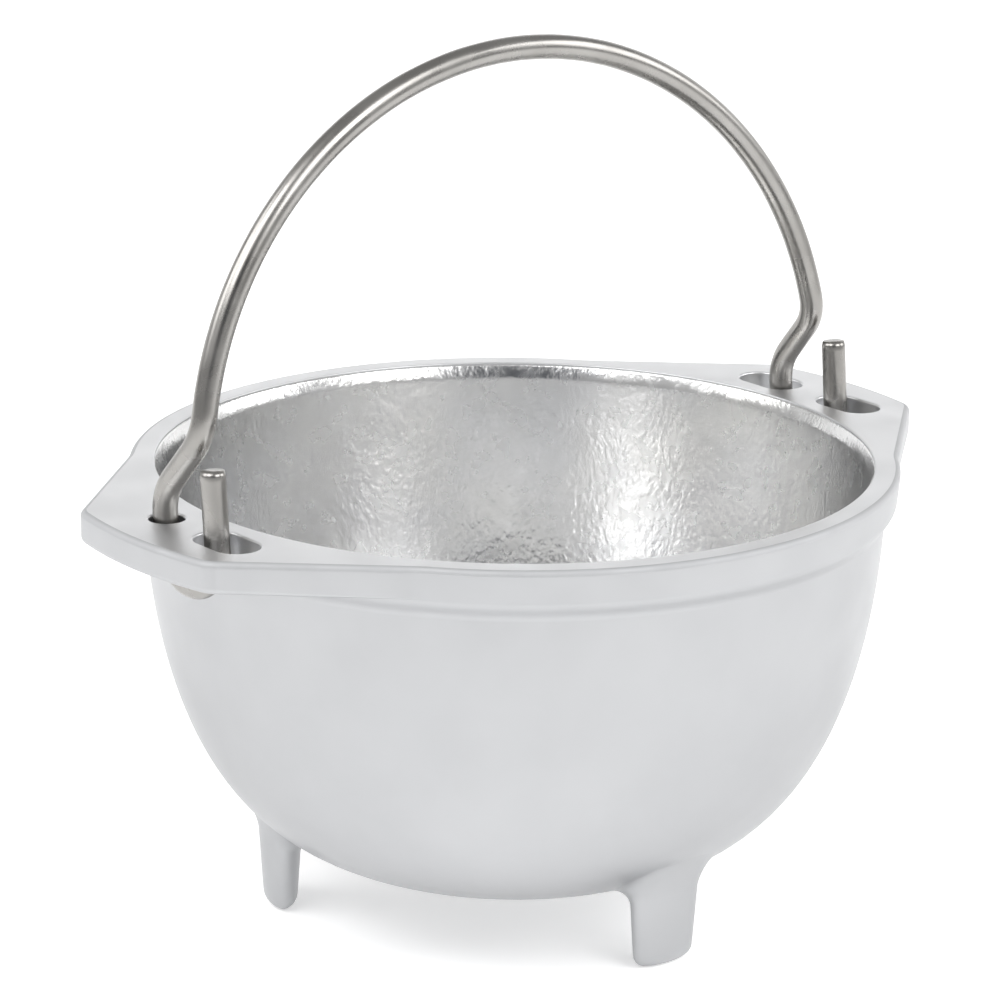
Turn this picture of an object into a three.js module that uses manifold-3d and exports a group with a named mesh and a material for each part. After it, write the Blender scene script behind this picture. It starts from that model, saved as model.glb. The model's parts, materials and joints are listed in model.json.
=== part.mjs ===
// Small three-legged cast aluminium pot with a wire bail.
// Frame: millimetres, +Z up, origin on the floor under the middle of the bowl.
// +X runs through the middle of both lugs, and the bail's hinge line runs along it.
import * as THREE from "three";
import { mergeVertices } from "three/addons/utils/BufferGeometryUtils.js";
import Module from "manifold-3d";

const wasm = await Module();
wasm.setup();

// Casting: heights
const RIM_HEIGHT = 72.5;
const BOWL_DEPTH = 64.8;
const CAVITY_DEPTH = 62;
const BAND_DEPTH = 5.5;
const BAND_STEP = 1.4;
const LUG_THICKNESS = 4.9;
const LIP_DEPTH = 2.3;

// Casting: radii about the bowl's axis
const RIM_RADIUS = 60;
const BAND_FOOT_RADIUS = 59.5;
const BOWL_RADIUS = 57.9;
const LIP_RADIUS = 55.7;
const CAVITY_RADIUS = 55;

// The bowl's outline follows r = R * (1 - (depth / D) ^ SIDE) ^ (1 / FLOOR)
const BOWL_SIDE_POWER = 2.16;
const BOWL_FLOOR_POWER = 3.755;
const BOWL_STEPS = 11;
const ROUND_SEGMENTS = 60;

// How far a cutter runs past the surface it cuts
const CUT_PAST = 2;

// Lugs, seen from above: a flank line at a set distance from the bowl's axis, a rounded corner,
// an outer end that is an arc about the axis, and a fillet back into the rim
const LUG_REACH = 72.2;
const LUG_CORNER_RADIUS = 5;
const LUG_FLANK_NORMAL = THREE.MathUtils.degToRad(48);
const LUG_FLANK_DISTANCE = 59.1;
const LUG_ROOT_RADIUS = 24;

// Lug openings: each is a slot across the lug, from the inner end to the outer end along Y
const OPENING_X = 62.2;
const OPENING_WIDTH = 7;
const LUG_CURVE_SEGMENTS = 6;
const FRONT_OPENING = { inner: -4.1, outer: -16 };
const REAR_OPENING = { inner: 2.4, outer: 14.4 };
const SNUG_OPENING = { inner: 2.4, outer: 7.9 };
const SNUG_WIDTH = 5.4;

// Legs: oval in section, wider across the bowl's radius than along it
const LEG_COUNT = 3;
const LEG_CIRCLE_RADIUS = 37;
const LEG_FIRST_ANGLE = -Math.PI / 2;
const LEG_HALF_WIDTH = 5.9;
const LEG_HALF_DEPTH = 2.9;
const LEG_FOOT_ROUNDING = 1.4;
const LEG_ROOT_START = 8;
const LEG_TOP = 19;
const LEG_ROOT_SPREAD = 0.7;
const LEG_FLARE_STEPS = 5;
const LEG_SEGMENTS = 16;

// Bail, in its own frame: origin on the hinge line, +X along it, the arch upright
const HINGE_Y = -0.95;
const WIRE_RADIUS = 1.9;
const WIRE_SIDES = 10;
const WIRE_STEPS = 140;
const HOOK_X = 62;
const HOOK_HALF_GAP = 6.45;
const STUB_TOP = 11.8;
const ARCH_Y = -3;
const ARCH_HALF_SPAN = 61.5;
const ARCH_RISE = 57.5;
const ARCH_CENTRE_Z = 8.5;
const JOGGLE_FOOT_Z = 6.8;
const JOGGLE_TOP_Z = 16;
const ARCH_FOOT_Z = 19.5;
const BEND_LENGTH = 3.4;
const REST_LEAN = THREE.MathUtils.degToRad(5);
const SMALL_TURN = 0.01;

// Vertices closer than this are one vertex.
const SAME_POINT = 1e-4;

// A closed three.js geometry as a manifold-3d solid.
function solid(geometry) {
  const bare = new THREE.BufferGeometry();
  const source = geometry.index ? geometry.toNonIndexed() : geometry;
  bare.setAttribute("position", source.getAttribute("position"));
  const merged = mergeVertices(bare, SAME_POINT);
  return new wasm.Manifold(
    new wasm.Mesh({
      numProp: 3,
      vertProperties: new Float32Array(merged.attributes.position.array),
      triVerts: new Uint32Array(merged.index.array),
    }),
  );
}

// A manifold-3d solid as a three.js geometry.
function geometryOf(body) {
  const mesh = body.getMesh();
  const geometry = new THREE.BufferGeometry();
  geometry.setAttribute("position", new THREE.BufferAttribute(mesh.vertProperties, 3));
  geometry.setIndex(new THREE.BufferAttribute(mesh.triVerts, 1));
  const faceted = geometry.toNonIndexed();
  faceted.computeVertexNormals();
  return faceted;
}

// A solid of revolution about Z from [radius, height] pairs listed from the bottom up.
function revolved(profile, segments = ROUND_SEGMENTS) {
  const points = profile.map(([radius, height]) => new THREE.Vector2(radius, height));
  return new THREE.LatheGeometry(points, segments).rotateX(Math.PI / 2);
}

// The bowl's outline from its floor up to `fromDepth` below the rim, for a given size.
function bowlOutline(radius, depth, fromDepth) {
  const points = [];
  for (let step = 0; step <= BOWL_STEPS; step++) {
    // Equal steps of this angle put the points closer together where the wall turns into the floor.
    const turn = (step / BOWL_STEPS) * (Math.PI / 2);
    const below = THREE.MathUtils.lerp(depth, fromDepth, 1 - Math.cos(turn));
    const share = 1 - (below / depth) ** BOWL_SIDE_POWER;
    points.push([radius * Math.max(share, 0) ** (1 / BOWL_FLOOR_POWER), RIM_HEIGHT - below]);
  }
  return points;
}

// The bowl and its rim band, solid right through.
function bowlBlank() {
  return revolved([
    ...bowlOutline(BOWL_RADIUS, BOWL_DEPTH, BAND_DEPTH + BAND_STEP),
    [BAND_FOOT_RADIUS, RIM_HEIGHT - BAND_DEPTH],
    [RIM_RADIUS, RIM_HEIGHT],
    [0, RIM_HEIGHT],
  ]);
}

// The inside of the bowl, with the turned lip at the rim, run past the top.
function cavity() {
  return revolved([
    ...bowlOutline(CAVITY_RADIUS, CAVITY_DEPTH, LIP_DEPTH),
    [LIP_RADIUS, RIM_HEIGHT],
    [LIP_RADIUS, RIM_HEIGHT + CUT_PAST],
    [0, RIM_HEIGHT + CUT_PAST],
  ]);
}

// One lug seen from above, on the +X side, closed off inside the rim band.
function lugShape() {
  const cornerReach = LUG_REACH - LUG_CORNER_RADIUS;
  const rootReach = RIM_RADIUS + LUG_ROOT_RADIUS;
  const cornerInset = Math.acos((LUG_FLANK_DISTANCE - LUG_CORNER_RADIUS) / cornerReach);
  const rootInset = Math.acos((LUG_FLANK_DISTANCE + LUG_ROOT_RADIUS) / rootReach);
  const cornerAngle = LUG_FLANK_NORMAL - cornerInset;
  const rootAngle = LUG_FLANK_NORMAL - rootInset;
  const corner = new THREE.Vector2(cornerReach, 0).rotateAround(new THREE.Vector2(), cornerAngle);
  const root = new THREE.Vector2(rootReach, 0).rotateAround(new THREE.Vector2(), rootAngle);
  const back = Math.PI;
  const shape = new THREE.Shape();
  shape.moveTo(LIP_RADIUS * Math.cos(rootAngle), -LIP_RADIUS * Math.sin(rootAngle));
  shape.absarc(root.x, -root.y, LUG_ROOT_RADIUS, back - rootAngle, back - LUG_FLANK_NORMAL, true);
  shape.absarc(corner.x, -corner.y, LUG_CORNER_RADIUS, -LUG_FLANK_NORMAL, -cornerAngle, false);
  shape.absarc(0, 0, LUG_REACH, -cornerAngle, cornerAngle, false);
  shape.absarc(corner.x, corner.y, LUG_CORNER_RADIUS, cornerAngle, LUG_FLANK_NORMAL, false);
  shape.absarc(root.x, root.y, LUG_ROOT_RADIUS, back + LUG_FLANK_NORMAL, back + rootAngle, true);
  shape.lineTo(LIP_RADIUS * Math.cos(rootAngle), LIP_RADIUS * Math.sin(rootAngle));
  shape.closePath();
  return shape;
}

// The lug on the +X side (side = 1) or on the -X side (side = -1).
function lug(side) {
  const plate = new THREE.ExtrudeGeometry(lugShape(), {
    depth: LUG_THICKNESS,
    bevelEnabled: false,
    curveSegments: LUG_CURVE_SEGMENTS,
  });
  plate.translate(0, 0, RIM_HEIGHT - LUG_THICKNESS);
  return solid(side > 0 ? plate : plate.rotateZ(Math.PI));
}

// A cutter for a round-ended slot that runs along Y from `inner` to `outer`.
function openingCutter(side, { inner, outer }, width) {
  const end = (Math.abs(outer - inner) - width) / 2;
  const slot = new THREE.Shape();
  slot.absarc(0, end, width / 2, 0, Math.PI, false);
  slot.absarc(0, -end, width / 2, Math.PI, 2 * Math.PI, false);
  slot.closePath();
  const cutter = new THREE.ExtrudeGeometry(slot, {
    depth: LUG_THICKNESS + 2 * CUT_PAST,
    bevelEnabled: false,
    curveSegments: LUG_CURVE_SEGMENTS,
  });
  cutter.translate(side * OPENING_X, (inner + outer) / 2, RIM_HEIGHT - LUG_THICKNESS - CUT_PAST);
  return solid(cutter);
}

// One leg, standing on the floor at the given angle round the bowl, flared where it meets the bowl.
function leg(angle) {
  const rounding = LEG_FOOT_ROUNDING / LEG_HALF_WIDTH;
  const profile = [
    [0, 0],
    [1 - 2 * rounding, 0],
    [1 - rounding / 2, LEG_FOOT_ROUNDING / 2],
    [1, 1.5 * LEG_FOOT_ROUNDING],
  ];
  for (let step = 0; step <= LEG_FLARE_STEPS; step++) {
    const share = step / LEG_FLARE_STEPS;
    const height = THREE.MathUtils.lerp(LEG_ROOT_START, LEG_TOP, share);
    profile.push([1 + LEG_ROOT_SPREAD * share ** 2, height]);
  }
  profile.push([0, LEG_TOP]);
  const shape = revolved(profile, LEG_SEGMENTS);
  shape.scale(LEG_HALF_DEPTH, LEG_HALF_WIDTH, 1);
  shape.translate(LEG_CIRCLE_RADIUS, 0, 0);
  return solid(shape.rotateZ(angle));
}

// The whole casting: bowl, rim band, lugs and legs, with the cavity and the lug openings cut out.
function castPot() {
  let body = solid(bowlBlank()).add(lug(1)).add(lug(-1));
  for (let count = 0; count < LEG_COUNT; count++) {
    body = body.add(leg(LEG_FIRST_ANGLE + (count * 2 * Math.PI) / LEG_COUNT));
  }
  body = body.subtract(solid(cavity()));
  body = body.subtract(openingCutter(1, FRONT_OPENING, OPENING_WIDTH));
  body = body.subtract(openingCutter(-1, FRONT_OPENING, OPENING_WIDTH));
  body = body.subtract(openingCutter(1, REAR_OPENING, OPENING_WIDTH));
  body = body.subtract(openingCutter(-1, SNUG_OPENING, SNUG_WIDTH));
  return geometryOf(body);
}

// A point on the bail's arch, at the given angle up from its widest place on the +X side.
function archPoint(angle) {
  const x = ARCH_HALF_SPAN * Math.cos(angle);
  return new THREE.Vector3(x, ARCH_Y, ARCH_CENTRE_Z + ARCH_RISE * Math.sin(angle));
}

// The arch as a curve, from its foot on one side over to its foot on the other side.
class ArchCurve extends THREE.Curve {
  constructor(footAngle) {
    super();
    this.footAngle = footAngle;
  }
  getPoint(share, target = new THREE.Vector3()) {
    return target.copy(archPoint(THREE.MathUtils.lerp(this.footAngle, Math.PI - this.footAngle, share)));
  }
}

// The U of one hook, a half circle about the hinge line, from its front leg round to its rear leg.
class HookCurve extends THREE.Curve {
  getPoint(share, target = new THREE.Vector3()) {
    const angle = Math.PI * (share - 1);
    return target.set(HOOK_X, HOOK_HALF_GAP * Math.cos(angle), HOOK_HALF_GAP * Math.sin(angle));
  }
}

// Straight runs joined by smooth bends at the corners, from the hook's rear leg up to the arch.
function joggle(footAngle) {
  const archFoot = archPoint(footAngle);
  const down = archFoot.clone().sub(archPoint(footAngle + SMALL_TURN)).normalize();
  const top = archFoot.clone().addScaledVector(down, (ARCH_FOOT_Z - JOGGLE_TOP_Z) / -down.z);
  const foot = new THREE.Vector3(HOOK_X, HOOK_HALF_GAP, JOGGLE_FOOT_Z);
  const slope = top.clone().sub(foot).normalize();
  const bendStart = foot.clone().setZ(JOGGLE_FOOT_Z - BEND_LENGTH);
  const bendEnd = foot.clone().addScaledVector(slope, BEND_LENGTH);
  const topStart = top.clone().addScaledVector(slope, -BEND_LENGTH);
  return [
    new THREE.LineCurve3(new THREE.Vector3(HOOK_X, HOOK_HALF_GAP, 0), bendStart),
    new THREE.QuadraticBezierCurve3(bendStart, foot, bendEnd),
    new THREE.LineCurve3(bendEnd, topStart),
    new THREE.QuadraticBezierCurve3(topStart, top, archFoot),
  ];
}

// The same curve walked the other way and mirrored to the -X side.
class MirroredCurve extends THREE.Curve {
  constructor(curve) {
    super();
    this.curve = curve;
  }
  getPoint(share, target = new THREE.Vector3()) {
    const point = this.curve.getPoint(1 - share);
    return target.set(-point.x, point.y, point.z);
  }
}

// The centre line of the whole wire, from the +X stub to the -X stub.
function bailPath() {
  const footAngle = Math.asin((ARCH_FOOT_Z - ARCH_CENTRE_Z) / ARCH_RISE);
  const stub = new THREE.LineCurve3(
    new THREE.Vector3(HOOK_X, -HOOK_HALF_GAP, STUB_TOP),
    new THREE.Vector3(HOOK_X, -HOOK_HALF_GAP, 0),
  );
  const side = [stub, new HookCurve(), ...joggle(footAngle)];
  const path = new THREE.CurvePath();
  side.forEach((curve) => path.add(curve));
  path.add(new ArchCurve(footAngle));
  side.reverse().forEach((curve) => path.add(new MirroredCurve(curve)));
  return path;
}

// The bail: a round wire swept along its centre line.
function wireBail() {
  const section = new THREE.Shape();
  section.absarc(0, 0, WIRE_RADIUS, 0, 2 * Math.PI, false);
  return new THREE.ExtrudeGeometry(section, {
    steps: WIRE_STEPS,
    curveSegments: WIRE_SIDES / 2,
    bevelEnabled: false,
    extrudePath: bailPath(),
  });
}

// A named mesh with its own material.
function part(name, geometry, look) {
  const mesh = new THREE.Mesh(geometry, new THREE.MeshStandardMaterial(look));
  mesh.name = name;
  return mesh;
}

const aluminium = { color: 0xd8dadd, roughness: 0.35, metalness: 1 };
const stainless = { color: 0x8c8378, roughness: 0.3, metalness: 1 };

const bailFrame = new THREE.Group();
bailFrame.position.set(0, HINGE_Y, RIM_HEIGHT - LUG_THICKNESS / 2);
bailFrame.rotation.x = -REST_LEAN;
bailFrame.add(part("wire_bail", wireBail(), stainless));

const pot = new THREE.Group();
pot.add(part("cast_pot", castPot(), aluminium));
pot.add(bailFrame);

export default pot;
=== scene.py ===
"""A small three-legged cast aluminium pot with a wire bail: meshes, finishes, light and camera."""

import math

import bmesh
import bpy
import numpy as np
from mathutils import Matrix, Vector, noise
from mathutils.geometry import tessellate_polygon
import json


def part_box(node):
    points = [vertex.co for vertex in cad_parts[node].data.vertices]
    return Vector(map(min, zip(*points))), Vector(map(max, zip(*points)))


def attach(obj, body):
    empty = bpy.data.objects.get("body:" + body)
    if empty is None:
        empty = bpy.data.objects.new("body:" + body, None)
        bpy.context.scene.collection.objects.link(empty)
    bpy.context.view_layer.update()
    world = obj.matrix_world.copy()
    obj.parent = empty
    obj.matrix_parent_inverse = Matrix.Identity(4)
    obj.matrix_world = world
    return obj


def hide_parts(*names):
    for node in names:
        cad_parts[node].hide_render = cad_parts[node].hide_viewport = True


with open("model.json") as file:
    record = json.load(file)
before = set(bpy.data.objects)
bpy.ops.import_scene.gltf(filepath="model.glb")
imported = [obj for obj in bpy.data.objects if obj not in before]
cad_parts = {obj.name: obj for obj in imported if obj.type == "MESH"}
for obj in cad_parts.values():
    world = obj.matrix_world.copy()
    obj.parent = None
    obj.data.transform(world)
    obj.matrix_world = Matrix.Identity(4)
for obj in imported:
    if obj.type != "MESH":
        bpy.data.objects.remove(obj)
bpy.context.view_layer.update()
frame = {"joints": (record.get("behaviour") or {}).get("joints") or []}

# Lengths below are in millimetres. Meshes are turned into metres as they are made.
MM = 0.001

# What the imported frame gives
POT_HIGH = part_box("cast_pot")[1] / MM
HINGE = Vector(frame["joints"][0]["pos_m"]) / MM
RIM_HEIGHT = POT_HIGH.z
RIM_RADIUS = POT_HIGH.y
LUG_REACH = POT_HIGH.x

# The casting's finishes, in the order of its material slots
OUTSIDE, INSIDE, TURNED, EDGE = range(4)

# A surface this far behind another one is out of sight
HIDDEN = 0.02

# Points closer than this are one point
SAME_POINT = 1e-4

# Rim plate: the rim band and the two lugs, which share one flat top. Each flank of a lug is a
# straight line at a set distance from the bowl's axis, square to the direction given.
LUG_THICKNESS = 4.9
PLATE_FOOT = RIM_HEIGHT - LUG_THICKNESS
LUG_CORNER_RADIUS = 5.0
LUG_FLANK_NORMAL = math.radians(48)
LUG_FLANK_DISTANCE = 59.1
LUG_ROOT_RADIUS = 24
LIP_RADIUS = 55.9
LIP_DEPTH = 2.6
LIP_EDGE_HEIGHT = 0.35
LIP_CURVE = 1.3
OUTER_EDGE_ROUNDING = 0.9
LIP_EDGE_ROUNDING = 0.2
LUG_FOOT_ROUNDING = 0.9
BAND_TAPER = 0.09
EDGE_STEPS = 6
LUG_ROOT_STEPS = 10
LUG_CORNER_STEPS = 12
LUG_END_STEPS = 24
RIM_STEPS = 110

# Openings in the lugs: side of the pot, width, then the inner and outer end along Y
OPENING_X = 62.2
OPENING_ROUNDING = 0.35
OPENING_END_STEPS = 20
OPENINGS = [
    (1, 7.0, -4.1, -16.0),
    (-1, 7.0, -4.1, -16.0),
    (1, 7.0, 2.4, 14.4),
    (-1, 5.4, 2.4, 7.9),
]

# Bowl: r = R * (1 - (depth / D) ** SIDE) ** (1 / FLOOR)
SIDE_POWER = 2.16
FLOOR_POWER = 3.755
BOWL_RADIUS = 57.9
BOWL_DEPTH = 64.8
CAVITY_RADIUS = 55
CAVITY_DEPTH = 62
BAND_DEPTH = 4.9
BAND_STEP = 3.4
BAND_STEPS = 13
LIP_STEPS = 9
LIP_TO_WALL = 0.4
ROUND_SEGMENTS = 480
OUTLINE_SAMPLES = 4000
OUTSIDE_SPACING = 2.0
INSIDE_SPACING = 1.3

# Where the bowl's skin goes on inside the rim plate, clear of its faces and of the openings
BURIED_RADIUS = 57.8
BURIED_FOOT = 0.5
BURIED_LEDGE = 0.6
BURIED_TOP = 0.5
LIP_BACK = 0.4
LIP_TUCK_OUT = 0.2
LIP_TUCK_UP = 0.05

# Unevenness of the bowl's inside: how wide and how high its swells and lumps are
SWELL_SPAN = 11
SWELL_HEIGHT = 0.09
LUMP_SPAN = 4
LUMP_HEIGHT = 0.04

# Legs: oval in section, flared into the bowl
LEG_COUNT = 3
LEG_CIRCLE_RADIUS = 37
LEG_FIRST_ANGLE = -math.pi / 2
LEG_HALF_WIDTH = 5.6
LEG_HALF_DEPTH = 2.7
LEG_TAPER = 0.065
LEG_FOOT_ROUNDING = 1.9
LEG_BLEND = 3.5
LEG_FLARE_PULL = 1.3
LEG_FLARE_LIFT = 0.03
LEG_SKIRT_DIVE = 0.8
LEG_SKIRT_LIFT = 0.4
LEG_CAP_LIFT = 1
LEG_SEGMENTS = 64
LEG_FOOT_STEPS = 6
LEG_SIDE_STEPS = 4
LEG_FLARE_STEPS = 12
SLOPE_STEP = 0.01

# Bail, in its own frame: origin on the hinge line, the arch upright
WIRE_RADIUS = 1.9
WIRE_SIDES = 32
WIRE_SPACING = 0.7
WIRE_END_ROUNDING = 0.15
HOOK_X = 62.0
HOOK_HALF_GAP = 6.45
STUB_TOP = 11.8
ARCH_Y = -3.0
ARCH_HALF_SPAN = 61.5
ARCH_RISE = 57.5
ARCH_CENTRE_Z = 8.5
ARCH_FOOT_Z = 19.5
JOGGLE_FOOT_Z = 6.8
JOGGLE_TOP_Z = 16.0
BEND_LENGTH = 3.4
REST_LEAN = math.radians(5)
HOOK_STEPS = 120
BEND_STEPS = 40
ARCH_STEPS = 400
SMALL_TURN = 0.01

# The range that most of a noise pattern lies in
PATTERN_LOW = 0.3
PATTERN_HIGH = 0.7

# Camera: its place is given from the middle of the rim
CAMERA_AZIMUTH = math.radians(-39.68)
CAMERA_ELEVATION = math.radians(16.12)
CAMERA_DISTANCE = 636.3
CAMERA_LENS = 147.1
CAMERA_SENSOR = 36
CAMERA_NEAR_M = 0.01
CAMERA_ROLL = math.radians(0.6)
AIM_LEFT = 2.2
AIM_BELOW = 7.1

# Studio
FLOOR_GLOW = 0.42
SKY_GLOW = 0.42
SWEEP_FRONT = 2500
SWEEP_BACK = 900
SWEEP_RADIUS = 300
SWEEP_HEIGHT = 700
SWEEP_HALF_WIDTH = 2500
SWEEP_STEPS = 25
SWEEP_COLOURS = (0.88, 0.88, 0.88), (0.90, 0.90, 0.90)
STAGE_ROUGHNESS = 0.9
CARD_DISTANCE = 1050
CARD_FOOT = 340
CARD_TOP = 1150
CARD_HALF_WIDTH = 300
CARD_COLOURS = (0.03, 0.035, 0.045), (0.04, 0.045, 0.055)

# Lights: azimuth and elevation in degrees, distance and size in metres, power in watts
SOFT_LIGHTS = {
    "front softbox": (10, 45, 1.0, 0.5, 3.7),
    "left softbox": (-87, 55, 1.0, 0.5, 3.3),
    "far left softbox": (-130, 40, 1.0, 0.5, 2.5),
    "right softbox": (60, 30, 1.0, 0.5, 2.5),
}


class Draft:
    """Points and faces gathered ring by ring, in millimetres, with a finish for each face."""

    def __init__(self):
        self.points = []
        self.faces = []
        self.finishes = []

    def ring(self, points):
        """Adds a row of points and gives their numbers."""
        first = len(self.points)
        self.points.extend(tuple(map(float, point)) for point in points)
        return list(range(first, len(self.points)))

    def face(self, corners, finish):
        """Adds one face, from the numbers of its points."""
        self.faces.append(corners)
        self.finishes.append(finish)

    def join(self, rings, finish=0):
        """Four-sided faces between each closed ring and the next one."""
        for low, high in zip(rings, rings[1:]):
            for here in range(len(low)):
                after = (here + 1) % len(low)
                self.face((low[here], low[after], high[after], high[here]), finish)

    def close(self, ring, tip, finish=0):
        """A fan of triangles from a closed ring to one point."""
        [middle] = self.ring([tip])
        for here, number in enumerate(ring):
            self.face((number, ring[(here + 1) % len(ring)], middle), finish)

    def fill(self, outer, holes, finish):
        """A flat face inside the outer ring and outside the holes."""
        loops = [outer, *holes]
        numbers = [number for loop in loops for number in loop]
        flat = [[Vector(self.points[number][:2]).to_3d() for number in loop] for loop in loops]
        for corners in tessellate_polygon(flat):
            self.face(tuple(numbers[corner] for corner in corners), finish)

    def build(self, name, finishes):
        """The finished object, smooth, with every closed shell facing out."""
        mesh = bpy.data.meshes.new(name)
        mesh.from_pydata([Vector(point) * MM for point in self.points], [], self.faces)
        for material in finishes:
            mesh.materials.append(material)
        mesh.polygons.foreach_set("material_index", self.finishes)
        mesh.polygons.foreach_set("use_smooth", [True] * len(self.faces))
        shells = bmesh.new()
        shells.from_mesh(mesh)
        bmesh.ops.recalc_face_normals(shells, faces=shells.faces)
        shells.to_mesh(mesh)
        shells.free()
        piece = bpy.data.objects.new(name, mesh)
        bpy.context.scene.collection.objects.link(piece)
        weighted = piece.modifiers.new("flat faces stay flat", "WEIGHTED_NORMAL")
        weighted.keep_sharp = True
        return piece


def arc(centre, radius, start, end, steps, away_from_centre=1):
    """Points along an arc seen from above, each with the direction out of the metal there."""
    turn = np.linspace(start, end, steps + 1)
    spoke = np.column_stack([np.cos(turn), np.sin(turn)])
    return np.asarray(centre) + radius * spoke, away_from_centre * spoke


def joined(arcs):
    """Several arcs as one closed loop, without the points that neighbours share."""
    points = np.vstack([points for points, _ in arcs])
    away = np.vstack([away for _, away in arcs])
    fresh = np.linalg.norm(points - np.roll(points, 1, axis=0), axis=1) > SAME_POINT
    return points[fresh], away[fresh]


def half_rim_outline():
    """The +X lug and the stretch of rim that follows it, seen from above."""
    corner_reach = LUG_REACH - LUG_CORNER_RADIUS
    root_reach = RIM_RADIUS + LUG_ROOT_RADIUS
    corner_share = (LUG_FLANK_DISTANCE - LUG_CORNER_RADIUS) / corner_reach
    root_share = (LUG_FLANK_DISTANCE + LUG_ROOT_RADIUS) / root_reach
    corner_turn = LUG_FLANK_NORMAL - math.acos(corner_share)
    root_turn = LUG_FLANK_NORMAL - math.acos(root_share)
    corner = corner_reach * np.array([math.cos(corner_turn), math.sin(corner_turn)])
    root = root_reach * np.array([math.cos(root_turn), math.sin(root_turn)])
    flip = np.array([1, -1])
    half = math.pi
    flank = LUG_FLANK_NORMAL
    return [
        arc(root * flip, LUG_ROOT_RADIUS, half - root_turn, half - flank, LUG_ROOT_STEPS, -1),
        arc(corner * flip, LUG_CORNER_RADIUS, -flank, -corner_turn, LUG_CORNER_STEPS),
        arc((0, 0), LUG_REACH, -corner_turn, corner_turn, LUG_END_STEPS),
        arc(corner, LUG_CORNER_RADIUS, corner_turn, flank, LUG_CORNER_STEPS),
        arc(root, LUG_ROOT_RADIUS, half + flank, half + root_turn, LUG_ROOT_STEPS, -1),
        arc((0, 0), RIM_RADIUS, root_turn, half - root_turn, RIM_STEPS),
    ]


def rim_outline():
    """The whole outer edge of the rim and lugs, seen from above."""
    half = half_rim_outline()
    return joined(half + [(-points, -away) for points, away in half])


def opening_outline(side, width, inner, outer):
    """A round-ended opening in a lug, seen from above."""
    centre = np.array([side * OPENING_X, (inner + outer) / 2])
    end = np.array([0, (abs(outer - inner) - width) / 2])
    return joined(
        [
            arc(centre + end, width / 2, 0, math.pi, OPENING_END_STEPS, -1),
            arc(centre - end, width / 2, math.pi, 2 * math.pi, OPENING_END_STEPS, -1),
        ]
    )


def wall(draft, points, away, top_rounding, foot_rounding, taper):
    """Rings down the edge of the rim plate, with its top and foot edges rounded.

    The roundings and the taper may differ from point to point.
    """
    quarter = np.linspace(0, math.pi / 2, EDGE_STEPS)
    top_edge = [
        (top_rounding * (1 - math.sin(turn)), RIM_HEIGHT - top_rounding * (1 - math.cos(turn)))
        for turn in quarter
    ]
    foot_edge = [
        (foot_rounding * (1 - math.cos(turn)), PLATE_FOOT + foot_rounding * (1 - math.sin(turn)))
        for turn in quarter
    ]
    rings = []
    for rounded_off, height in top_edge + foot_edge:
        inset = rounded_off + taper * (RIM_HEIGHT - height)
        plan = points - away * np.broadcast_to(inset, len(points))[:, None]
        heights = np.broadcast_to(height, len(points))
        rings.append(draft.ring(np.column_stack([plan, heights])))
    return rings


def rim_plate(draft):
    """The rim with its lugs and their openings, as one plate with rounded edges."""
    points, away = rim_outline()
    stands_out = np.linalg.norm(points, axis=1) - RIM_RADIUS
    lug_share = np.clip(stands_out / (2 * LUG_FOOT_ROUNDING), 0, 1)
    foot_rounding = HIDDEN + LUG_FOOT_ROUNDING * lug_share
    taper = BAND_TAPER * (1 - lug_share)
    outside = wall(draft, points, away, OUTER_EDGE_ROUNDING, foot_rounding, taper)
    lip = arc((0, 0), LIP_RADIUS, 0, 2 * math.pi, ROUND_SEGMENTS, -1)
    inside = wall(draft, *joined([lip]), LIP_EDGE_ROUNDING, HIDDEN, taper=0)
    holes = [
        wall(draft, *opening_outline(*opening), OPENING_ROUNDING, OPENING_ROUNDING, taper=0)
        for opening in OPENINGS
    ]
    draft.join(outside[:EDGE_STEPS], EDGE)
    draft.join(outside[EDGE_STEPS - 1 :], OUTSIDE)
    for rings in (inside, *holes):
        draft.join(rings, TURNED)
    for level in (0, -1):
        draft.fill(outside[level], [rings[level] for rings in (inside, *holes)], TURNED)


def evenly_spaced(points, spacing):
    """The same line with its points an equal distance apart."""
    along = np.concatenate([[0], np.cumsum(np.linalg.norm(np.diff(points, axis=0), axis=1))])
    even = np.linspace(0, along[-1], round(along[-1] / spacing))
    return np.column_stack([np.interp(even, along, axis) for axis in points.T])


def bowl_outline(radius, depth, from_depth, spacing):
    """Evenly spaced (radius, height) pairs from the middle of the floor up the wall."""
    turn = np.linspace(0, math.pi / 2, OUTLINE_SAMPLES)
    reach = radius * np.sin(turn) ** (2 / FLOOR_POWER)
    below = depth * np.cos(turn) ** (2 / SIDE_POWER)
    kept = below >= from_depth
    return evenly_spaced(np.column_stack([reach[kept], RIM_HEIGHT - below[kept]]), spacing)


def band_profile():
    """The step out from the bowl's wall to the rim band, then on, hidden, inside the rim plate."""
    share = np.linspace(0, 1, BAND_STEPS)
    smooth = share**2 * (3 - 2 * share)
    low = RIM_HEIGHT - BAND_DEPTH - BAND_STEP
    wall_radius = bowl_radius_at(BAND_DEPTH + BAND_STEP)
    band_radius = RIM_RADIUS - BAND_TAPER * BAND_DEPTH - HIDDEN
    step_radius = wall_radius + (band_radius - wall_radius) * smooth
    step = np.column_stack([step_radius, low + BAND_STEP * share])
    inside_plate = [
        [band_radius, PLATE_FOOT + BURIED_FOOT],
        [BURIED_RADIUS, PLATE_FOOT + BURIED_LEDGE],
        [BURIED_RADIUS, RIM_HEIGHT - LIP_DEPTH],
        [LIP_RADIUS + LIP_BACK, RIM_HEIGHT - BURIED_TOP],
    ]
    return np.vstack([step, inside_plate])


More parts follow.
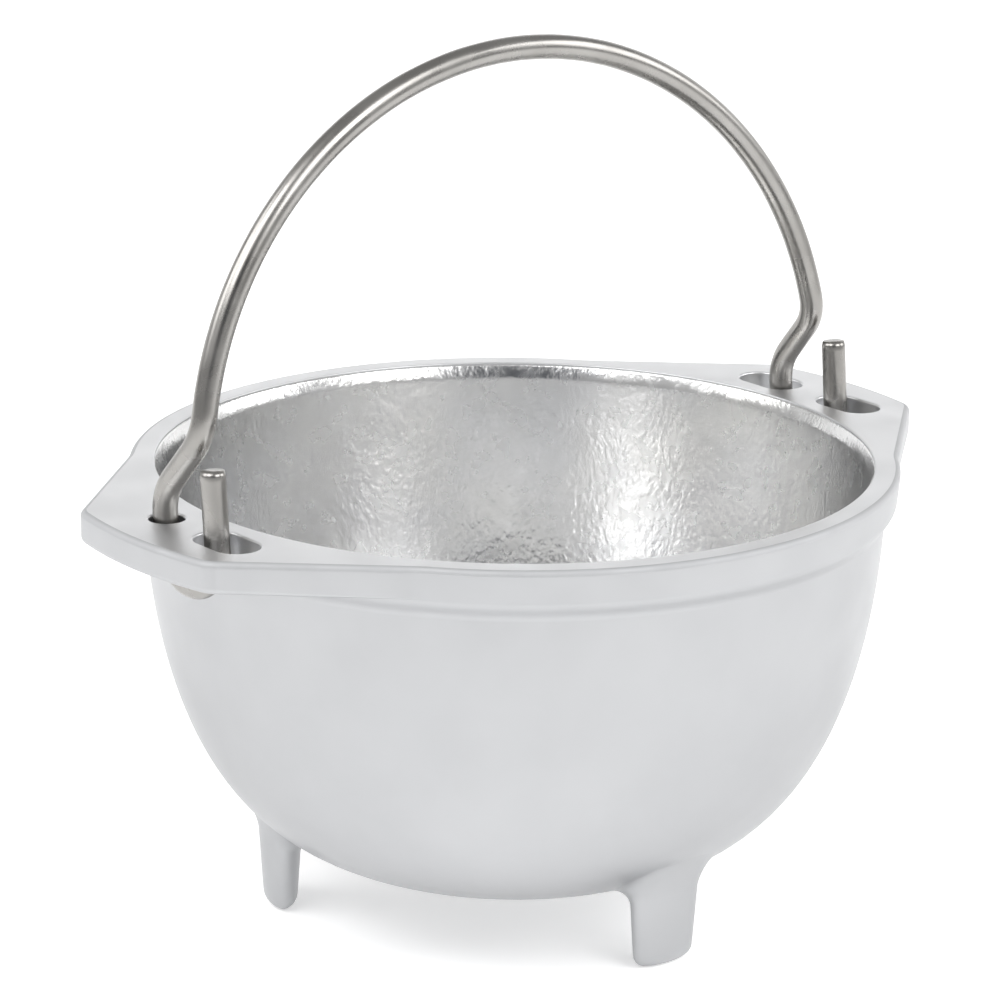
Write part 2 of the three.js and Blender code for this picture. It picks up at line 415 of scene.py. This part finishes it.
def bowl_radius_at(depth):
    """The radius of the outside of the bowl at a depth below the rim."""
    return BOWL_RADIUS * (1 - (depth / BOWL_DEPTH) ** SIDE_POWER) ** (1 / FLOOR_POWER)


def bowl_height_at(radius):
    """The height of the outside of the bowl at a distance from its axis."""
    depth = BOWL_DEPTH * (1 - (radius / BOWL_RADIUS) ** FLOOR_POWER) ** (1 / SIDE_POWER)
    return RIM_HEIGHT - depth


def revolve(draft, profile, finish, uneven=None):
    """Rings about the bowl's axis from (radius, height) pairs; uneven moves each point a little."""
    turn = np.linspace(0, 2 * math.pi, ROUND_SEGMENTS, endpoint=False)
    rings = []
    for radius, height in profile:
        points = [Vector((radius * math.cos(a), radius * math.sin(a), height)) for a in turn]
        if uneven:
            points = [uneven(point) for point in points]
        rings.append(draft.ring(points))
    draft.join(rings, finish)
    return rings


def as_cast(point):
    """A point of the bowl's inside, moved a little in or out, as the rough mould left it."""
    centre = Vector((0, 0, RIM_HEIGHT))
    outward = (point - centre).normalized()
    swell = noise.noise(point / SWELL_SPAN)
    lump = noise.noise(point / LUMP_SPAN + centre)
    return point + outward * (SWELL_HEIGHT * swell + LUMP_HEIGHT * lump)


def lip_profile():
    """The rounded lip between the flat top and the bowl's inside wall, listed from the top."""
    share = np.linspace(0, 1, LIP_STEPS)
    top = RIM_HEIGHT - LIP_EDGE_HEIGHT
    reach = LIP_RADIUS - CAVITY_RADIUS
    drop = LIP_DEPTH - LIP_EDGE_HEIGHT
    curve = np.column_stack([CAVITY_RADIUS + reach * (1 - share) ** LIP_CURVE, top - drop * share])
    return np.vstack([[LIP_RADIUS + LIP_TUCK_OUT, top + LIP_TUCK_UP], curve])


def bowl(draft):
    """The bowl with its band, and its inside up to the turned lip."""
    outside = bowl_outline(BOWL_RADIUS, BOWL_DEPTH, BAND_DEPTH + BAND_STEP, OUTSIDE_SPACING)
    inside = bowl_outline(CAVITY_RADIUS, CAVITY_DEPTH, LIP_DEPTH + LIP_TO_WALL, INSIDE_SPACING)
    outer_rings = revolve(draft, np.vstack([outside[1:-1], band_profile()]), OUTSIDE)
    inner_rings = revolve(draft, np.vstack([lip_profile(), inside[:0:-1]]), INSIDE, as_cast)
    draft.join([outer_rings[-1], inner_rings[0]], INSIDE)
    draft.close(outer_rings[0], (0, 0, outside[0][1]), OUTSIDE)
    draft.close(inner_rings[-1], as_cast(Vector((0, 0, inside[0][1]))), INSIDE)


def leg_section():
    """A leg's oval outline, as if it stood on +X, and the direction out of it at each point."""
    turn = np.linspace(0, 2 * math.pi, LEG_SEGMENTS, endpoint=False)
    side = np.column_stack([LEG_HALF_DEPTH * np.cos(turn), LEG_HALF_WIDTH * np.sin(turn)])
    away = np.column_stack([LEG_HALF_WIDTH * np.cos(turn), LEG_HALF_DEPTH * np.sin(turn)])
    away /= np.linalg.norm(away, axis=1)[:, None]
    return np.array([LEG_CIRCLE_RADIUS, 0]) + side, away


def foot_levels(root, away):
    """The rounded foot of a leg, from the floor up: an outline and a height for each level."""
    levels = []
    for lean in np.linspace(0, math.pi / 2, LEG_FOOT_STEPS):
        inset = LEG_FOOT_ROUNDING * (1 - math.sin(lean))
        levels.append((root - away * inset, LEG_FOOT_ROUNDING * (1 - math.cos(lean))))
    return levels


def side_levels(root, away, flare_start):
    """The straight, slightly tapered side of a leg, between its foot and its flare."""
    levels = []
    for share in np.linspace(0, 1, LEG_SIDE_STEPS)[1:-1]:
        rise = (flare_start - LEG_FOOT_ROUNDING) * share
        levels.append((root + away * LEG_TAPER * rise[:, None], LEG_FOOT_ROUNDING + rise))
    return levels


def flare_levels(root, away, flare_start, skin_height):
    """The flare of a leg, a cubic from its side, heading up, to the bowl's skin, heading along it.

    The last level goes a little further, under the skin, so the joint has no gap.
    """
    skirt = root + away * LEG_BLEND
    ahead = np.linalg.norm(skirt + away * SLOPE_STEP, axis=1)
    slope = (bowl_height_at(ahead) - skin_height) / SLOPE_STEP
    taper = LEG_TAPER * (flare_start - LEG_FOOT_ROUNDING)
    pull = LEG_BLEND * LEG_FLARE_PULL
    levels = []
    for share in np.linspace(0, 1, LEG_FLARE_STEPS):
        keep = 2 * share**3 - 3 * share**2 + 1
        move = 3 * share**2 - 2 * share**3
        lift = share**3 - 2 * share**2 + share
        land = share**3 - share**2
        spread = taper * keep + LEG_BLEND * move + pull * land
        height = flare_start * keep + skin_height * move + pull * (lift + slope * land)
        levels.append((root + away * spread[:, None], height + LEG_FLARE_LIFT * share))
    beyond = skirt + away * LEG_SKIRT_DIVE
    under_skin = bowl_height_at(np.linalg.norm(beyond, axis=1)) + LEG_SKIRT_LIFT
    return [*levels, (beyond, under_skin)]


def leg(draft, angle):
    """One leg, from its rounded foot up to a flare that meets the bowl all round."""
    root, away = leg_section()
    flare_start = bowl_height_at(np.linalg.norm(root, axis=1)) - LEG_BLEND
    skin_height = bowl_height_at(np.linalg.norm(root + away * LEG_BLEND, axis=1))
    levels = foot_levels(root, away)
    levels += side_levels(root, away, flare_start)
    levels += flare_levels(root, away, flare_start, skin_height)
    spin = np.array([[math.cos(angle), math.sin(angle)], [-math.sin(angle), math.cos(angle)]])
    rings = []
    for outline, height in levels:
        heights = np.broadcast_to(height, len(outline))
        rings.append(draft.ring(np.column_stack([outline @ spin, heights])))
    middle = np.array([LEG_CIRCLE_RADIUS, 0]) @ spin
    draft.join(rings, OUTSIDE)
    draft.close(rings[0], (*middle, 0), OUTSIDE)
    draft.close(rings[-1], (*middle, np.mean(skin_height) + LEG_CAP_LIFT), OUTSIDE)


def cast_pot(finishes):
    """The whole casting."""
    draft = Draft()
    rim_plate(draft)
    bowl(draft)
    for count in range(LEG_COUNT):
        leg(draft, LEG_FIRST_ANGLE + count * 2 * math.pi / LEG_COUNT)
    piece = draft.build("pot_casting", finishes)
    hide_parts("cast_pot")
    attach(piece, "pot")


def arch_point(angle):
    """A point on the arch, at an angle up from its widest place on the +X side."""
    x = ARCH_HALF_SPAN * math.cos(angle)
    return np.array([x, ARCH_Y, ARCH_CENTRE_Z + ARCH_RISE * math.sin(angle)])


def bend(start, corner, end):
    """Points on a smooth bend from start to end round a corner."""
    share = np.linspace(0, 1, BEND_STEPS)[:, None]
    return start * (1 - share) ** 2 + 2 * corner * share * (1 - share) + end * share**2


def half_bail():
    """The wire's centre line from the +X stub, through hook and joggle, to the top of the arch."""
    foot_angle = math.asin((ARCH_FOOT_Z - ARCH_CENTRE_Z) / ARCH_RISE)
    arch_foot = arch_point(foot_angle)
    down = arch_foot - arch_point(foot_angle + SMALL_TURN)
    top = arch_foot + down * (ARCH_FOOT_Z - JOGGLE_TOP_Z) / -down[2]
    foot = np.array([HOOK_X, HOOK_HALF_GAP, JOGGLE_FOOT_Z])
    slope = (top - foot) / np.linalg.norm(top - foot)
    stub = [[HOOK_X, -HOOK_HALF_GAP, STUB_TOP]]
    turn = np.linspace(-math.pi, 0, HOOK_STEPS)
    round_hook = HOOK_HALF_GAP * np.column_stack([np.cos(turn), np.sin(turn)])
    hook = np.column_stack([np.full(HOOK_STEPS, HOOK_X), round_hook])
    lower = bend(foot - [0, 0, BEND_LENGTH], foot, foot + slope * BEND_LENGTH)
    upper = bend(top - slope * BEND_LENGTH, top, arch_foot)
    arch = [arch_point(angle) for angle in np.linspace(foot_angle, math.pi / 2, ARCH_STEPS)]
    return np.vstack([stub, hook, lower, upper, arch[1:]])


def wire_bail(finish):
    """The bail: a round wire swept along its centre line, its cut ends slightly rounded."""
    half = half_bail()
    upright = evenly_spaced(np.vstack([half, half[-2::-1] * [-1, 1, 1]]), WIRE_SPACING)
    lean = Matrix.Translation(HINGE) @ Matrix.Rotation(-REST_LEAN, 4, "X")
    line = [lean @ Vector(point) for point in upright]
    last = len(line) - 1
    draft = Draft()
    turn = np.linspace(0, 2 * math.pi, WIRE_SIDES, endpoint=False)
    across = Vector((1, 0, 0))
    rings = []
    for here, point in enumerate(line):
        heading = (line[min(here + 1, last)] - line[max(here - 1, 0)]).normalized()
        across = (across - heading * across.dot(heading)).normalized()
        other = heading.cross(across)
        radius = WIRE_RADIUS - (WIRE_END_ROUNDING if here in (0, last) else 0)
        spokes = [across * math.cos(angle) + other * math.sin(angle) for angle in turn]
        rings.append(draft.ring([point + spoke * radius for spoke in spokes]))
    draft.join(rings)
    draft.close(rings[0], line[0])
    draft.close(rings[-1], line[-1])
    piece = draft.build("bail_wire", [finish])
    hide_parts("wire_bail")
    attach(piece, "bail")


class Finish:
    """A finish made of nodes, metal unless changed: noise steers its colour, roughness and bump."""

    def __init__(self, name):
        self.material = bpy.data.materials.new(name)
        self.material.use_nodes = True
        self.tree = self.material.node_tree
        self.shader = self.tree.nodes["Principled BSDF"]
        self.shader.inputs["Metallic"].default_value = 1.0
        self.place = self.tree.nodes.new("ShaderNodeTexCoord").outputs["Object"]

    def link(self, source, target):
        self.tree.links.new(source, target)

    def stretched(self, per_metre):
        """Object coordinates multiplied by a different number along each axis."""
        mapping = self.tree.nodes.new("ShaderNodeMapping")
        mapping.inputs["Scale"].default_value = per_metre
        self.link(self.place, mapping.inputs["Vector"])
        return mapping.outputs["Vector"]

    def noise(self, per_metre, detail, vector=None):
        """A noise pattern with this many lumps to a metre, and this many finer layers on them."""
        node = self.tree.nodes.new("ShaderNodeTexNoise")
        node.inputs["Scale"].default_value = per_metre
        node.inputs["Detail"].default_value = detail
        self.link(vector or self.place, node.inputs["Vector"])
        return node.outputs["Fac"]

    def colours(self, pattern, dark, light):
        """The base colour, from dark to light as the pattern goes."""
        ramp = self.tree.nodes.new("ShaderNodeValToRGB")
        low, high = ramp.color_ramp.elements
        low.position, low.color = PATTERN_LOW, (*dark, 1)
        high.position, high.color = PATTERN_HIGH, (*light, 1)
        self.link(pattern, ramp.inputs["Fac"])
        self.link(ramp.outputs["Color"], self.shader.inputs["Base Color"])

    def roughness(self, pattern, low, high):
        """The roughness, from low to high as the pattern goes."""
        node = self.tree.nodes.new("ShaderNodeMapRange")
        node.inputs["From Min"].default_value = PATTERN_LOW
        node.inputs["From Max"].default_value = PATTERN_HIGH
        node.inputs["To Min"].default_value = low
        node.inputs["To Max"].default_value = high
        self.link(pattern, node.inputs["Value"])
        self.link(node.outputs["Result"], self.shader.inputs["Roughness"])

    def bump(self, pattern, height_mm, strength):
        """Adds a bump of this height on top of the ones already there."""
        node = self.tree.nodes.new("ShaderNodeBump")
        node.inputs["Distance"].default_value = height_mm * MM
        node.inputs["Strength"].default_value = strength
        self.link(pattern, node.inputs["Height"])
        earlier = self.shader.inputs["Normal"].links
        if earlier:
            self.link(earlier[0].from_socket, node.inputs["Normal"])
        self.link(node.outputs["Normal"], self.shader.inputs["Normal"])


def buffed_aluminium():
    """The bowl's outside, band and legs: satin, buffed smooth, with a base colour held far darker
    than the rim's top as painted shade.
    """
    finish = Finish("buffed_aluminium")
    # Painted shade: the base colour is set well below the metal's own and darker than the rim's
    # top, to offset the glowing floor's light.
    finish.colours(finish.noise(28, detail=4), (0.46, 0.465, 0.475), (0.49, 0.495, 0.505))
    finish.roughness(finish.noise(90, detail=4), 0.36, 0.44)
    finish.bump(finish.noise(45, detail=2), height_mm=0.5, strength=0.12)
    finish.bump(finish.noise(420, detail=2), height_mm=0.02, strength=0.3)
    return finish.material


def turned_aluminium():
    """The flat top of the rim and lugs: machined, then rubbed to a satin."""
    finish = Finish("turned_aluminium")
    finish.colours(finish.noise(40, detail=4), (0.74, 0.745, 0.755), (0.78, 0.785, 0.795))
    finish.roughness(finish.noise(120, detail=4), 0.36, 0.44)
    finish.bump(finish.noise(60, detail=2), height_mm=0.4, strength=0.12)
    cutter_marks = finish.stretched((1, 0.2, 1))
    finish.bump(finish.noise(700, detail=3, vector=cutter_marks), height_mm=0.02, strength=0.2)
    return finish.material


def rubbed_aluminium():
    """The rim's outer edge: broken by hand with emery, so it is duller than the faces beside it.
    Its base colour, set between the outside's and the top's, is partly painted shade.
    """
    finish = Finish("rubbed_aluminium")
    # Partly painted shade: the base colour sits between the darkened outside's and the top's.
    finish.colours(finish.noise(50, detail=4), (0.56, 0.565, 0.575), (0.60, 0.605, 0.615))
    finish.roughness(finish.noise(150, detail=4), 0.68, 0.78)
    finish.bump(finish.noise(500, detail=3), height_mm=0.03, strength=0.3)
    return finish.material


def cast_aluminium():
    """The bowl's inside: the bright, crinkled skin of the casting."""
    finish = Finish("as_cast_aluminium")
    finish.colours(finish.noise(35, detail=3), (0.76, 0.765, 0.78), (0.84, 0.835, 0.815))
    finish.roughness(finish.noise(300, detail=4), 0.20, 0.30)
    crinkle = finish.stretched((1, 1, 0.7))
    finish.bump(finish.noise(160, detail=2), height_mm=0.10, strength=0.25)
    finish.bump(finish.noise(1150, detail=1, vector=crinkle), height_mm=0.10, strength=0.75)
    return finish.material


def drawn_stainless():
    """The bail: drawn stainless wire, a little dulled by heat."""
    finish = Finish("drawn_stainless")
    finish.colours(finish.noise(60, detail=4), (0.31, 0.30, 0.285), (0.39, 0.38, 0.365))
    finish.roughness(finish.noise(200, detail=4), 0.22, 0.34)
    finish.bump(finish.noise(500, detail=3), height_mm=0.03, strength=0.2)
    return finish.material


def stage_sheet(name, profile, half_width, glow, colours):
    """A sheet for the studio, from (run, rise) pairs with the run measured away from the camera."""
    finish = Finish(name)
    finish.shader.inputs["Metallic"].default_value = 0.0
    finish.shader.inputs["Roughness"].default_value = STAGE_ROUGHNESS
    finish.shader.inputs["Emission Color"].default_value = (1, 1, 1, 1)
    finish.shader.inputs["Emission Strength"].default_value = glow
    finish.colours(finish.noise(6, detail=2), *colours)
    away = np.array([-math.sin(CAMERA_AZIMUTH), math.cos(CAMERA_AZIMUTH)])
    side = np.array([away[1], -away[0]])
    points = []
    for run, rise in profile:
        for end in (-half_width, half_width):
            points.append(Vector((*(away * run + side * end), rise)) * MM)
    faces = [(row, row + 1, row + 3, row + 2) for row in range(0, len(points) - 2, 2)]
    mesh = bpy.data.meshes.new(name)
    mesh.from_pydata(points, [], faces)
    mesh.polygons.foreach_set("use_smooth", [True] * len(faces))
    mesh.materials.append(finish.material)
    sheet = bpy.data.objects.new(name, mesh)
    bpy.context.scene.collection.objects.link(sheet)


def floor_and_backdrop():
    """A pale glowing floor that sweeps up into a pale wall behind the pot, seen from the camera."""
    turn = np.linspace(0, math.pi / 2, SWEEP_STEPS)
    run = SWEEP_BACK + SWEEP_RADIUS * np.sin(turn)
    rise = SWEEP_RADIUS * (1 - np.cos(turn))
    curve = np.column_stack([run, rise])
    profile = np.vstack([[-SWEEP_FRONT, 0], curve, [SWEEP_BACK + SWEEP_RADIUS, SWEEP_HEIGHT]])
    stage_sheet("sweep", profile, SWEEP_HALF_WIDTH, FLOOR_GLOW, SWEEP_COLOURS)


def dark_card():
    """A dark card standing behind the camera, mirrored in the edges that face it."""
    profile = [(-CARD_DISTANCE, CARD_FOOT), (-CARD_DISTANCE, CARD_TOP)]
    stage_sheet("dark_card", profile, CARD_HALF_WIDTH, 0, CARD_COLOURS)


def direction(azimuth, elevation):
    """The direction from the pot to something at this azimuth and elevation; azimuth 0 is on -Y."""
    level = math.cos(elevation)
    return Vector((math.sin(azimuth) * level, -math.cos(azimuth) * level, math.sin(elevation)))


def soft_light(name, azimuth, elevation, distance, size, watts):
    """A square area light that faces the pot from the given direction."""
    lamp = bpy.data.lights.new(name, "AREA")
    lamp.size = size
    lamp.energy = watts
    holder = bpy.data.objects.new(name, lamp)
    away = direction(math.radians(azimuth), math.radians(elevation))
    holder.location = away * distance
    holder.rotation_euler = away.to_track_quat("Z", "Y").to_euler()
    bpy.context.scene.collection.objects.link(holder)


def studio():
    """Even pale surroundings and a few large soft lights."""
    world = bpy.data.worlds.new("studio")
    world.use_nodes = True
    surroundings = world.node_tree.nodes["Background"]
    surroundings.inputs["Color"].default_value = (1, 1, 1, 1)
    surroundings.inputs["Strength"].default_value = SKY_GLOW
    bpy.context.scene.world = world
    bpy.context.scene.view_settings.view_transform = "Standard"
    for name, light in SOFT_LIGHTS.items():
        soft_light(name, *light)


def camera():
    """The camera, aimed a little below and to the left of the rim's middle, so the feet show."""
    back = direction(CAMERA_AZIMUTH, CAMERA_ELEVATION)
    right = Vector((math.cos(CAMERA_AZIMUTH), math.sin(CAMERA_AZIMUTH), 0))
    up = back.cross(right)
    rim_middle = Vector((0, 0, RIM_HEIGHT))
    place = rim_middle + back * CAMERA_DISTANCE
    target = rim_middle - right * AIM_LEFT - up * AIM_BELOW
    lens = bpy.data.cameras.new("camera")
    lens.lens = CAMERA_LENS
    lens.sensor_width = CAMERA_SENSOR
    lens.clip_start = CAMERA_NEAR_M
    holder = bpy.data.objects.new("camera", lens)
    holder.location = place * MM
    look = (place - target).to_track_quat("Z", "Y").to_matrix()
    holder.rotation_euler = (look @ Matrix.Rotation(CAMERA_ROLL, 3, "Z")).to_euler()
    bpy.context.scene.collection.objects.link(holder)
    bpy.context.scene.camera = holder


camera()
studio()
floor_and_backdrop()
dark_card()
cast_pot([buffed_aluminium(), cast_aluminium(), turned_aluminium(), rubbed_aluminium()])
wire_bail(drawn_stainless())
